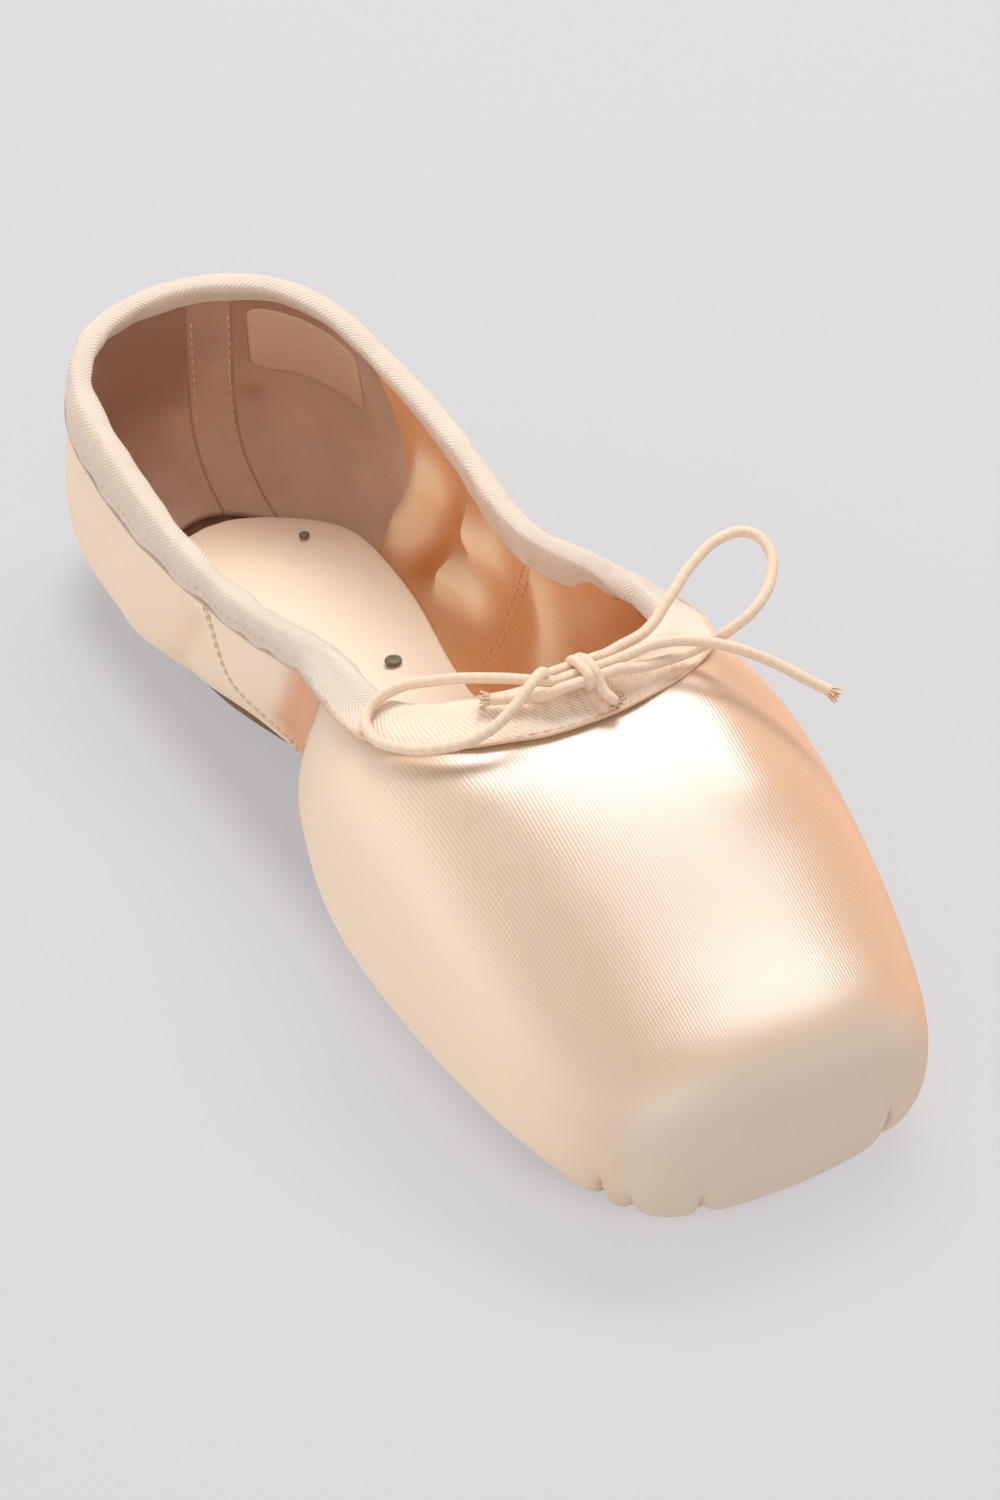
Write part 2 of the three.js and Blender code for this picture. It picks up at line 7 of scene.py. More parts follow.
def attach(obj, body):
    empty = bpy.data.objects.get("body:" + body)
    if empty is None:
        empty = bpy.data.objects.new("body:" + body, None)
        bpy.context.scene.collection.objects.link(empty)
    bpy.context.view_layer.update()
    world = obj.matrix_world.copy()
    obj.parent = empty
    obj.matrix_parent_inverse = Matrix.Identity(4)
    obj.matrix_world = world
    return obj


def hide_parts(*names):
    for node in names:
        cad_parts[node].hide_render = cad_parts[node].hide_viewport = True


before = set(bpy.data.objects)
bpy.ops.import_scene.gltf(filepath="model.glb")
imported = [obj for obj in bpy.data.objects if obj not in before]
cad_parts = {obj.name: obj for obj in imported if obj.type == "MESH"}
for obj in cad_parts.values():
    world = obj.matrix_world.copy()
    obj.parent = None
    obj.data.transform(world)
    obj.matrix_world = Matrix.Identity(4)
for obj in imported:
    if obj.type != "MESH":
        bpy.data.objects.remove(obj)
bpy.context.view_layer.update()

# The camera stands in front of the toe, to the left and well above it, and looks down into
# the shoe. Its place and aim are in millimetres, and its roll and lens are the photograph's.
MM = 0.001
CAMERA_AT = Vector((-311.7, -628.3, 553.9)) * MM
CAMERA_AIM = Vector((2.86, -12.46, 25.0)) * MM
CAMERA_ROLL = math.radians(-1.9)
CAMERA_LENS = 121.0
bpy.ops.object.select_all(action="DESELECT")
bpy.ops.object.camera_add(location=CAMERA_AT)
camera = bpy.context.object
camera.name = "camera_front_left"
level_view = (CAMERA_AIM - CAMERA_AT).to_track_quat("-Z", "Y")
camera.rotation_euler = (level_view @ Quaternion((0, 0, 1), CAMERA_ROLL)).to_euler()
camera.data.lens = CAMERA_LENS
camera.data.clip_start = 0.05
bpy.context.scene.camera = camera

# The drawstring's bow: a round elastic cord, braided in pale peach, that comes out of the
# casing at the throat, and is tied in two loops with two loose ends. The ends are cut, and
# their braid opens into a short brush.
CORD_THICK = 1.9
BRAID_PITCH = 2.6
BRAID_STRANDS = 5
BRAID_DEPTH = 0.03
FRAY_FIBRES = 26
FRAY_THICK = 0.32
FRAY_REACH = 1.4
FRAY_UNEVEN = 0.5
GOLDEN_TURN = 2.399
CORD_COLOUR = "#EFD5BA"
CORD_TONE_AND_GROOVE_SHADE = "#DDB693"
LEFT_LOOP = [
    (0.6, -43.8, 64.0), (-2.0, -43.8, 64.0), (-3.9, -43.8, 64.0), (-6.2, -45.8, 66.3),
    (-9.1, -47.7, 66.3), (-13.2, -49.2, 64.1), (-19.0, -49.6, 61.2), (-25.1, -47.3, 59.3),
    (-30.4, -40.6, 57.0), (-31.8, -33.4, 55.8), (-30.0, -29.3, 56.5), (-25.5, -29.0, 59.0),
    (-19.0, -32.9, 61.3), (-10.7, -40.0, 63.2), (-6.2, -43.6, 63.4), (-3.9, -46.1, 64.0),
    (-2.0, -46.1, 64.0), (0.6, -46.1, 64.0),
]
RIGHT_LOOP = [
    (2.2, -43.8, 64.0), (5.0, -43.8, 64.0), (6.9, -43.8, 64.0), (9.3, -43.4, 64.2),
    (15.1, -42.9, 65.3), (20.6, -40.5, 68.0), (27.5, -37.0, 71.0), (33.7, -35.7, 73.0),
    (38.3, -36.9, 73.0), (39.7, -40.6, 71.5), (38.0, -44.5, 69.5), (33.2, -48.1, 67.0),
    (27.9, -48.3, 64.1), (23.7, -46.4, 61.1), (16.1, -47.3, 61.5), (10.4, -48.1, 62.7),
    (6.9, -48.4, 64.0), (5.0, -48.4, 64.0), (2.2, -48.4, 64.0),
]
RIGHT_END = [
    (2.2, -46.1, 64.0), (5.0, -46.1, 64.0), (6.9, -46.1, 64.0), (10.4, -46.3, 64.5),
    (14.9, -46.4, 64.8), (21.1, -48.1, 64.2), (25.2, -50.6, 63.4), (31.3, -54.1, 60.5),
    (36.1, -58.3, 57.5), (39.3, -61.2, 55.5),
]
LEFT_END = [
    (0.6, -48.4, 64.0), (-2.0, -48.4, 64.0), (-3.9, -48.4, 64.0), (-6.2, -47.4, 62.8),
    (-9.2, -45.7, 62.4), (-14.2, -43.0, 62.1),
]


def dye(shade):
    """A colour written as a hex string, as the shader's linear red, green, blue and alpha."""
    parts = [int(shade[i : i + 2], 16) / 255 for i in (1, 3, 5)]
    return [p / 12.92 if p <= 0.04045 else ((p + 0.055) / 1.055) ** 2.4 for p in parts] + [1.0]


class Value:
    """One number that varies over a piece: the maths written on it becomes Math nodes."""

    def __init__(self, finish, socket):
        self.finish = finish
        self.socket = socket

    def math(self, operation, *others):
        sockets = dict(enumerate((self, *others)))
        return self.finish.node("ShaderNodeMath", {"operation": operation}, sockets)

    def __add__(self, other):
        return self.math("ADD", other)

    def __radd__(self, other):
        return self.math("ADD", other)

    def __sub__(self, other):
        return self.math("SUBTRACT", other)

    def __rsub__(self, other):
        return (self * -1) + other

    def __mul__(self, other):
        return self.math("MULTIPLY", other)

    def __rmul__(self, other):
        return self.math("MULTIPLY", other)

    def __abs__(self):
        return self.math("ABSOLUTE")

    def wave(self, pitch):
        """A sine of this many millimetres a turn."""
        return (self * (2 * math.pi / pitch)).math("SINE")

    def rise(self, start, stop):
        """0 up to start and 1 from stop, with a soft slope between."""
        settings = {"interpolation_type": "SMOOTHSTEP"}
        return self.finish.node("ShaderNodeMapRange", settings, {0: self, 1: start, 2: stop})


class Finish:
    """A material on one shader, with what varies over the piece linked to a few sockets."""

    def __init__(self, name, roughness, **constants):
        self.material = bpy.data.materials.new(name)
        self.material.use_nodes = True
        self.tree = self.material.node_tree
        self.shader = self.tree.nodes["Principled BSDF"]
        self.shader.inputs["Roughness"].default_value = roughness
        for socket, value in constants.items():
            self.shader.inputs[socket.replace("_", " ")].default_value = value

    def node(self, kind, settings, sockets, output=0):
        """Adds a node, its settings set before its sockets, and gives one output."""
        made = self.tree.nodes.new(kind)
        for setting, value in settings.items():
            setattr(made, setting, value)
        for socket, value in sockets.items():
            if isinstance(value, Value):
                self.tree.links.new(value.socket, made.inputs[socket])
            else:
                made.inputs[socket].default_value = value
        return Value(self, made.outputs[output])

    def place(self):
        """Object coordinates in millimetres, as three values."""
        where = self.node("ShaderNodeTexCoord", {}, {}, "Object")
        sockets = {0: where, "Scale": 1 / MM}
        scaled = self.node("ShaderNodeVectorMath", {"operation": "SCALE"}, sockets)
        split = self.tree.nodes.new("ShaderNodeSeparateXYZ")
        self.tree.links.new(scaled.socket, split.inputs[0])
        return [Value(self, output) for output in split.outputs]

    def thread(self, layer):
        """One of a piece's own maps, as its two values."""
        where = self.node("ShaderNodeUVMap", {"uv_map": layer}, {})
        split = self.tree.nodes.new("ShaderNodeSeparateXYZ")
        self.tree.links.new(where.socket, split.inputs[0])
        return [Value(self, split.outputs[0]), Value(self, split.outputs[1])]

    def cloud(self, size, detail=2.0):
        """Soft noise from 0 to 1 in blots of about this many millimetres."""
        where = self.node("ShaderNodeTexCoord", {}, {}, "Object")
        sockets = {"Vector": where, "Scale": 1 / (size * MM), "Detail": detail}
        return self.node("ShaderNodeTexNoise", {}, sockets)

    def mix(self, share, low, high):
        """A colour between two, given as hex strings or colour outputs."""
        ends = [end if isinstance(end, Value) else dye(end) for end in (low, high)]
        settings = {"data_type": "RGBA"}
        return self.node("ShaderNodeMix", settings, {0: share, 6: ends[0], 7: ends[1]}, 2)

    def link(self, socket, value):
        self.tree.links.new(value.socket, self.shader.inputs[socket])

    def relief(self, height, depth):
        """Bump from a height, this many millimetres deep for each 1 of it."""
        sockets = {"Height": height, "Distance": depth * MM, "Strength": 1.0}
        self.link("Normal", self.node("ShaderNodeBump", {}, sockets))


def braided(name, length):
    """The braid of one cord: two sets of strands that wind round it in opposite turns."""
    finish = Finish(name, 0.62, Sheen_Weight=0.25, Sheen_Roughness=0.4)
    along_share, round_share = finish.thread("UVMap")
    along = along_share * (length / BRAID_PITCH)
    one = (round_share * BRAID_STRANDS + along).wave(1)
    other = (round_share * BRAID_STRANDS - along).wave(1)
    weave = one * other * 0.5 + 0.5
    # Painted shade: the braid is painted darker in its low grooves between strands.
    finish.link("Base Color", finish.mix(weave * 0.4 + 0.6, CORD_TONE_AND_GROOVE_SHADE, CORD_COLOUR))
    finish.relief(weave, BRAID_DEPTH)
    return finish.material


def route_length(points):
    return sum((Vector(b) - Vector(a)).length for a, b in zip(points, points[1:]))


def lay_cord(name, points, thick):
    """A braided cord on a smooth route of points in millimetres."""
    line = bpy.data.curves.new("bow_" + name, "CURVE")
    line.dimensions = "3D"
    line.bevel_depth = thick / 2 * MM
    line.bevel_resolution = 5
    line.resolution_u = 14
    line.use_fill_caps = True
    spline = line.splines.new("BEZIER")
    spline.bezier_points.add(len(points) - 1)
    for stop, point in zip(spline.bezier_points, points):
        stop.co = Vector(point) * MM
        stop.handle_left_type = "AUTO"
        stop.handle_right_type = "AUTO"
    line.materials.append(braided("braid_" + name, route_length(points)))
    piece = bpy.data.objects.new("bow_" + name, line)
    bpy.context.scene.collection.objects.link(piece)
    return piece


def brush(name, tip, away, material):
    """The open braid at a cut end: a fan of fine fibres, as one piece."""
    line = bpy.data.curves.new(name, "CURVE")
    line.dimensions = "3D"
    line.bevel_depth = FRAY_THICK / 2 * MM
    line.bevel_resolution = 1
    tip = Vector(tip)
    away = Vector(away).normalized()
    aside = away.orthogonal().normalized()
    for i in range(FRAY_FIBRES):
        turn = Quaternion(away, i * GOLDEN_TURN)
        spread = turn @ aside * (0.25 + 0.75 * (i % 5) / 4)
        long = FRAY_REACH + FRAY_UNEVEN * math.sin(i * 1.7)
        root = tip - away * 0.9 + spread * 0.6
        bend = tip + spread * 0.85
        end = tip + away * long + spread * 1.5
        spline = line.splines.new("POLY")
        spline.points.add(2)
        for stop, place in zip(spline.points, (root, bend, end)):
            stop.co = (place * MM).to_4d()
    line.materials.append(material)
    piece = bpy.data.objects.new(name, line)
    bpy.context.scene.collection.objects.link(piece)
    bpy.ops.object.select_all(action="DESELECT")
    piece.select_set(True)
    bpy.context.view_layer.objects.active = piece
    bpy.ops.object.convert(target="MESH")
    return bpy.context.object


loop_left = lay_cord("loop_left", LEFT_LOOP, CORD_THICK)
loop_right = lay_cord("loop_right", RIGHT_LOOP, CORD_THICK)
end_right = lay_cord("end_right", RIGHT_END, CORD_THICK)
end_left = lay_cord("end_left", LEFT_END, CORD_THICK)
cord_plain = Finish("cord_fibre", 0.7)
cord_plain.link("Base Color", cord_plain.mix(cord_plain.cloud(0.8), CORD_TONE_AND_GROOVE_SHADE, CORD_COLOUR))
brush_right = brush("bow_brush_right", RIGHT_END[-1], (3.2, -2.9, -2.0), cord_plain.material)
brush_left = brush("bow_brush_left", LEFT_END[-1], (-5.0, 2.7, -0.3), cord_plain.material)

# The knot: the same cord, drawn thin and tight in more than one turn round the strands of
# the bow. Its tail goes down into the slit in the casing, whose edge is frayed. It lies
# where the CAD knot is.
KNOT_AT = (0.5, -46.1, 63.9)
KNOT_START = -0.15
KNOT_TURNS = 1.65
KNOT_PITCH = 1.35
KNOT_DEEP = 3.0
KNOT_HIGH = 1.75
KNOT_THICK = 1.8
TAIL = [(2.9, -50.4, 62.2), (3.6, -51.4, 61.2), (4.4, -51.5, 60.4), (4.9, -50.8, 59.6)]
SLIT_AT = (4.9, -51.0, 59.9)
wound = []
for turn in np.linspace(KNOT_START, KNOT_START + KNOT_TURNS, 15):
    swing = 2 * math.pi * turn
    step = (KNOT_PITCH * turn, KNOT_DEEP * math.cos(swing), KNOT_HIGH * math.sin(swing))
    wound.append(tuple(np.add(KNOT_AT, step)))
knot = lay_cord("knot", wound + TAIL, KNOT_THICK)
brush_slit = brush("bow_slit_fray", SLIT_AT, (-0.3, -0.8, 0.9), cord_plain.material)
brushes = (brush_right, brush_left, brush_slit)
for piece in (loop_left, loop_right, end_right, end_left, *brushes, knot):
    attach(piece, "root")
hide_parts("loop_left")
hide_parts("loop_right")
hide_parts("end_right")
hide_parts("end_left")
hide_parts("knot")

# The upper's satin: one outer skin, woven of fine glossy thread that runs the length of the
# shoe, pulled over the stiff box and pleated under the toe. The quarters are soft, and they
# fall into a hollow behind the box on each side.
SATIN = "#CFA77E"
SATIN_PAINTED_HOLLOW_SHADE = "#DC8838"
SATIN_PAINTED_BOUNCE_LIGHT = "#F1AC70"
SATIN_PAINTED_LEFT_LIGHT = "#FBDDB8"
SATIN_SEAM_AND_TUCK_SHADE = "#A8683C"
SATIN_PALE = "#D8B692"
SATIN_THREAD = "#B08560"
SATIN_FRONT = "#DCCCB4"
THREAD_PITCH = 0.6
THREAD_DEPTH = 0.022
PIVOT_HEIGHT = 18
FRONT_CENTRE = -23.2
HEEL_CENTRE = 85.84
TURN_RADIUS = 27
QUARTER_TURN = TURN_RADIUS * math.pi / 2
BOX_ROUND = 37
SIDE_HEIGHT = 47
QUARTER_FOLDS = [
    {"from": (-33, -2, 42), "to": (-28.5, 12, 20), "wide": 7.5, "high": -3.2},
    {"from": (-34, -14, 45), "to": (-35, -8, 24), "wide": 6, "high": 0.5},
    {"from": (-28, 18, 33), "to": (-28, 28, 26), "wide": 6, "high": 1.0},
    {"from": (-29, 42, 30), "to": (-28, 52, 16), "wide": 5, "high": -1.1},
    {"from": (-30, 60, 34), "to": (-30, 66, 16), "wide": 6, "high": 0.9},
    {"from": (-27, 82, 40), "to": (-24, 92, 16), "wide": 4.5, "high": -1.0},
    {"from": (32, -3, 38), "to": (29, 8, 14), "wide": 8, "high": -2.8},
    {"from": (34, -15, 44), "to": (36, -13, 20), "wide": 3.5, "high": 1.4},
    {"from": (29, 44, 28), "to": (30, 30, 18), "wide": 7, "high": -1.2},
    {"from": (29, 22, 30), "to": (28, 12, 14), "wide": 6, "high": 0.8},
    {"from": (30, 58, 36), "to": (30, 66, 14), "wide": 5, "high": 1.0},
    {"from": (27, 82, 40), "to": (24, 92, 16), "wide": 4.5, "high": -1.0},
]
THROAT_FOLDS = [
    {"from": (-29, -42, 54), "to": (-24, -54, 54), "wide": 6, "high": 0.6},
    {"from": (19, -49, 57), "to": (20, -70, 52), "wide": 8, "high": 0.7},
    {"from": (31, -42, 50), "to": (30, -58, 46), "wide": 8, "high": -0.3},
]
DRAWN_IN = [
    {"at": (-33, -6, 46), "wide": 25, "deep": 22, "by": (3.5, 0, 2.8)},
    {"at": (33, 4, 46), "wide": 25, "deep": 22, "by": (-1.5, 0, 1.0)},
]
TOP_LINE = [
    (-113, 30), (-109, 33.7), (-93, 40.6), (-72, 50.2), (-62, 54.3), (-55, 56.6), (-40, 58),
]
PLEAT_CENTRE = (0.0, -78.0)
PLEATS = [
    {"turn": -84, "deep": 0.8, "up": 2}, {"turn": -74, "deep": 1.0, "up": 2},
    {"turn": -63, "deep": 0.8, "up": 2}, {"turn": -54, "deep": 0.9, "up": 3},
    {"turn": -47, "deep": 3.2, "up": 17}, {"turn": -39.5, "deep": 2.5, "up": 14},
    {"turn": -33, "deep": 0.7, "up": 2}, {"turn": -23, "deep": 2.2, "up": 13},
    {"turn": -16, "deep": 0.8, "up": 1}, {"turn": -8, "deep": 1.0, "up": 1},
    {"turn": 1, "deep": 0.7, "up": 1}, {"turn": 11, "deep": 0.9, "up": 1},
    {"turn": 20, "deep": 0.8, "up": 1}, {"turn": 28.5, "deep": 2.4, "up": 17},
    {"turn": 37, "deep": 0.9, "up": 2}, {"turn": 46, "deep": 2.4, "up": 14},
    {"turn": 55, "deep": 0.9, "up": 3}, {"turn": 66, "deep": 1.0, "up": 2},
    {"turn": 77, "deep": 0.9, "up": 2},
]
PLEAT_WIDTH = 0.85
SEAM_TOP = 36.3
SEAM_REACH = 22.0
LEFT_SEAM_Y = 37.6
RIGHT_SEAM_Y = 25.8
RIGHT_SEAM_MIDDLE = 18
ROW_APART = 0.8


def copy_solid(node, name):
    """A CAD node's mesh as a new piece, its points merged and its triangles paired."""
    bpy.ops.object.select_all(action="DESELECT")
    piece = bpy.data.objects.new(name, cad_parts[node].data.copy())
    bpy.context.scene.collection.objects.link(piece)
    piece.data.materials.clear()
    piece.select_set(True)
    bpy.context.view_layer.objects.active = piece
    bpy.ops.mesh.customdata_custom_splitnormals_clear()
    bpy.ops.object.mode_set(mode="EDIT")
    bpy.ops.mesh.select_all(action="SELECT")
    bpy.ops.mesh.remove_doubles(threshold=0.01 * MM)
    bpy.ops.mesh.tris_convert_to_quads(
        face_threshold=math.pi, shape_threshold=math.pi, topology_influence=2
    )
    bpy.ops.object.mode_set(mode="OBJECT")
    return piece


def keep_faces(piece, wanted):
    """Deletes the faces whose centre and normal fail the test."""
    bpy.ops.object.mode_set(mode="EDIT")
    bpy.ops.mesh.select_mode(type="FACE")
    bpy.ops.mesh.select_all(action="DESELECT")
    bpy.ops.object.mode_set(mode="OBJECT")
    for face in piece.data.polygons:
        face.select = not wanted(face.center / MM, face.normal)
    bpy.ops.object.mode_set(mode="EDIT")
    bpy.ops.mesh.delete(type="FACE")
    bpy.ops.object.mode_set(mode="OBJECT")


def smooth_out(piece, levels):
    """Subdivides a piece for good, and shades it smooth."""
    bpy.context.view_layer.objects.active = piece
    rounding = piece.modifiers.new("rounding", "SUBSURF")
    rounding.levels = levels
    rounding.render_levels = levels
    bpy.ops.object.modifier_apply(modifier=rounding.name)
    piece.data.polygons.foreach_set("use_smooth", [True] * len(piece.data.polygons))


def places_of(piece):
    """The piece's points in millimetres, and its normals there."""
    count = len(piece.data.vertices)
    place = np.empty(count * 3)
    normal = np.empty(count * 3)
    piece.data.vertices.foreach_get("co", place)
    piece.data.vertices.foreach_get("normal", normal)
    return place.reshape(-1, 3) / MM, normal.reshape(-1, 3)


def set_places(piece, place):
    piece.data.vertices.foreach_set("co", (place * MM).ravel())
    piece.data.update()


def fold_height(place, folds):
    """The sum of soft ridges and troughs, each round a line from one place to another."""
    height = np.zeros(len(place))
    for fold in folds:
        start = np.array(fold["from"], float)
        line = np.array(fold["to"], float) - start
        share = np.clip((place - start) @ line / (line @ line), 0, 1)
        far = np.linalg.norm(place - start - share[:, None] * line, axis=1)
        height += fold["high"] * np.exp(-((far / fold["wide"]) ** 2))
    return height


def draw_in(place):
    """The collar behind the box, moved in and up where the cord has drawn it tight."""
    moved = place.copy()
    for pull in DRAWN_IN:
        at = np.array(pull["at"], float)
        far = np.hypot((place[:, 1] - at[1]) / pull["wide"], (place[:, 2] - at[2]) / pull["deep"])
        same_side = 1 - ease(0, 10, -place[:, 0] * np.sign(at[0]))
        moved += (np.exp(-far * far) * same_side)[:, None] * np.array(pull["by"], float)
    return moved


def ease(start, stop, value):
    share = np.clip((value - start) / (stop - start), 0, 1)
    return share * share * (3 - 2 * share)


def pleat_height(place):
    """Sharp tucks under the toe, on lines that fan out from the sole's tip."""
    aside = place[:, 0] - PLEAT_CENTRE[0]
    ahead = PLEAT_CENTRE[1] - place[:, 1]
    reach = np.hypot(aside, ahead)
    turn = np.degrees(np.arctan2(aside, ahead))
    height = np.zeros(len(place))
    for pleat in PLEATS:
        far = np.radians(np.abs(turn - pleat["turn"])) * reach
        fade = 1 - ease(pleat["up"] * 0.3, pleat["up"] + 3, place[:, 2])
        height -= pleat["deep"] * np.exp(-far / PLEAT_WIDTH) * fade
    return height * ease(8, 16, reach)


def is_outside(centre, normal):
    """True on the upper's outer face: it looks away from a line along the shoe's middle."""
    middle = Vector((0, min(max(centre.y, FRONT_CENTRE), HEEL_CENTRE), PIVOT_HEIGHT))
    return normal.dot((centre - middle).normalized()) > 0.25


def round_shoe(place):
    """How far round the shoe a point is, from the toe to the heel, and how far out."""
    aside = np.abs(place[:, 0])
    ahead = np.maximum(FRONT_CENTRE - place[:, 1], 0)
    behind = np.maximum(place[:, 1] - HEEL_CENTRE, 0)
    out = np.hypot(aside, ahead + behind)
    turned = TURN_RADIUS * np.arctan2(ahead + behind, aside)
    side = QUARTER_TURN + np.clip(place[:, 1], FRONT_CENTRE, HEEL_CENTRE) - FRONT_CENTRE
    from_side = np.where(behind > 0, side + turned, side)
    return np.where(ahead > 0, QUARTER_TURN - turned, from_side), out


def set_map(piece, layer, across, along):
    """A map of the piece in millimetres, one pair of numbers a point."""
    pairs = np.stack([across, along], axis=1)
    corners = np.empty(len(piece.data.loops), int)
    piece.data.loops.foreach_get("vertex_index", corners)
    piece.data.uv_layers.new(name=layer).data.foreach_set("uv", pairs[corners].ravel())


satin = copy_solid("upper", "satin_upper")
keep_faces(satin, is_outside)
smooth_out(satin, 3)
place, normal = places_of(satin)
round_it, out = round_shoe(place)
top_at, top_high = np.array(TOP_LINE).T
rise = (place[:, 2] - PIVOT_HEIGHT) / (np.interp(place[:, 1], top_at, top_high) - PIVOT_HEIGHT)
section_turn = np.arctan2(place[:, 0] / BOX_ROUND, rise) * BOX_ROUND
section_drop = np.sign(place[:, 0]) * (SIDE_HEIGHT + PIVOT_HEIGHT - place[:, 2])
sideways = ease(FRONT_CENTRE - 10, FRONT_CENTRE + 20, place[:, 1])
thread_across = section_turn * (1 - sideways) + section_drop * sideways
round_heel = round_it - QUARTER_TURN + FRONT_CENTRE
thread_along = np.where(place[:, 1] > HEEL_CENTRE, round_heel, place[:, 1])
thread_along = thread_along + place[:, 2] * (1 - ease(-112, -98, place[:, 1]))
set_map(satin, "threads", thread_across, thread_along)
folds = fold_height(place, QUARTER_FOLDS + THROAT_FOLDS)
tucks = pleat_height(place)
set_map(satin, "folds", folds, tucks)
set_places(satin, draw_in(place + normal * (folds + tucks)[:, None]))


def left_seam(below):
    """Where the left seam is along the shoe, this far below its top."""
    return LEFT_SEAM_Y - below * 0.5 - below * below * 0.025


def right_seam(high):
    """Where the right seam is along the shoe, at this height."""
    return RIGHT_SEAM_Y - (high - RIGHT_SEAM_MIDDLE) * (high - RIGHT_SEAM_MIDDLE) * 0.017


# The satin's finish: its thread shows on top of the box and fades to the sides. Painted light
# makes it creamy on the left and warm on the right, painted shade deepens its hollows and
# tucks, and it is greyer on the toe.
satin_finish = Finish("satin", 0.34, Specular_IOR_Level=1.0, IOR=2.1)
across, along = satin_finish.thread("threads")
fold, tuck = satin_finish.thread("folds")
x, y, z = satin_finish.place()
left = x * -1
ahead = y * -1
on_panel = (1 - ahead.rise(103, 110)) * ahead.rise(30, 50) * (1 - abs(across).rise(27, 37))
warp = across.wave(THREAD_PITCH) * 0.36
twist = (across + along * 2).wave(THREAD_PITCH) * 0.14
threads = (warp + twist) * on_panel
body = satin_finish.mix(satin_finish.cloud(26, 3), SATIN, SATIN_PALE)
# Painted light: the satin is painted paler and creamier on its left side, where the left lamp
# falls.
pale = left.rise(27, 38) + left.rise(5, 22) * y.rise(0, 15)
body = satin_finish.mix(pale.math("MINIMUM", 1.0) * 0.8, body, SATIN_PAINTED_LEFT_LIGHT)
# Painted light: the right side is painted warm orange, as bounce light from beside the shoe.
body = satin_finish.mix(x.rise(13, 32) * 0.85, body, SATIN_PAINTED_BOUNCE_LIGHT)
# Painted shade: the hollows of the folds are painted deeper orange, as shade and bounce light.
body = satin_finish.mix(fold.rise(-0.3, -2.4) * 0.9, body, SATIN_PAINTED_HOLLOW_SHADE)
body = satin_finish.mix(ahead.rise(107, 113) * 0.5, body, SATIN_FRONT)
# Painted shade: the pleat tucks under the toe are painted dark. The same colour marks the seams'
# rows.
body = satin_finish.mix(tuck.rise(-0.5, -2.0) * 0.8, body, SATIN_SEAM_AND_TUCK_SHADE)
below = (SEAM_TOP - z).math("MINIMUM", SEAM_REACH)
side_seam = (y - left_seam(below)) * x.rise(1, -1) + (y - right_seam(z)) * x.rise(-1, 1)
rows = abs(abs(side_seam) - ROW_APART).rise(0.5, 0.1)
seam_mark = rows * 0.15 + abs(side_seam).rise(0.3, 0) * 0.25
body = satin_finish.mix(seam_mark, body, SATIN_SEAM_AND_TUCK_SHADE)
body = satin_finish.mix(threads.rise(-0.05, 0.5) * 0.6, body, SATIN_THREAD)
satin_finish.link("Base Color", body)
matt = left.rise(20, 32) * 0.24
satin_finish.link("Roughness", satin_finish.cloud(9, 3) * 0.08 + 0.35 + matt)
overlap = side_seam.rise(-0.25, 0.25)
groove = abs(side_seam).rise(0.9, 0) * 0.6 + abs(x).rise(0.8, 0) * y.rise(108, 110)
satin_finish.relief(threads * THREAD_DEPTH + overlap * 0.5 - groove * 0.5, 1.0)
satin.data.materials.append(satin_finish.material)
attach(satin, "root")
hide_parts("upper")

# The satin's pieces are joined by a seam on each side, which runs down from the casing in a
# curve, and by one up the back of the heel. Each has two rows of stitches.
STITCH_THICK = 0.4
STITCH = "#EFD0AE"
STITCH_DEEP = "#CFA27A"
SEAM_HEIGHTS = np.linspace(11, 37, 24)


def on_skin(skin, spots, proud):
    """Each spot, in millimetres, moved to the nearest place on a skin, and a little off it."""
    found = []
    for spot in spots:
        at, normal = skin.closest_point_on_mesh(Vector(spot) * MM)[1:3]
        found.append(at / MM + normal * proud)
    return found


def straight_line(name, points, closed=False):
    """A curve object through points in millimetres, for what is laid along a line."""
    line = bpy.data.curves.new(name, "CURVE")
    line.dimensions = "3D"
    spline = line.splines.new("POLY")
    spline.points.add(len(points) - 1)
    for stop, point in zip(spline.points, points):
        stop.co = (Vector(point) * MM).to_4d()
    spline.use_cyclic_u = closed
    piece = bpy.data.objects.new(name, line)
    bpy.context.scene.collection.objects.link(piece)
    return piece


def stitch_row(name, points, pitch, long, thick, material, closed=False):
    """One stitch, modelled once and repeated along a line, as one piece."""
    guide = straight_line(name + "_guide", points, closed)
    bpy.ops.object.select_all(action="DESELECT")
    bpy.ops.mesh.primitive_ico_sphere_add(subdivisions=2, radius=0.5)
    row = bpy.context.object
    row.name = name
    row.scale = (long * MM, thick * MM, thick * MM)
    bpy.ops.object.transform_apply(location=False, rotation=False, scale=True)
    repeat = row.modifiers.new("repeat", "ARRAY")
    repeat.fit_type = "FIT_CURVE"
    repeat.curve = guide
    repeat.use_relative_offset = False
    repeat.use_constant_offset = True
    repeat.constant_offset_displace = (pitch * MM, 0, 0)
    follow = row.modifiers.new("follow", "CURVE")
    follow.object = guide
    bpy.ops.object.modifier_apply(modifier=repeat.name)
    bpy.ops.object.modifier_apply(modifier=follow.name)
    bpy.ops.object.shade_smooth()
    bpy.data.objects.remove(guide)
    row.data.materials.append(material)
    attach(row, "root")
    return row


def left_row(aside, heights, offset):
    """Spots along one row of the left seam."""
    return [(aside, left_seam(min(SEAM_TOP - z, SEAM_REACH)) + offset, z) for z in heights]


def right_row(aside, heights, offset):
    """Spots along one row of the right seam."""
    return [(aside, right_seam(z) + offset, z) for z in heights]


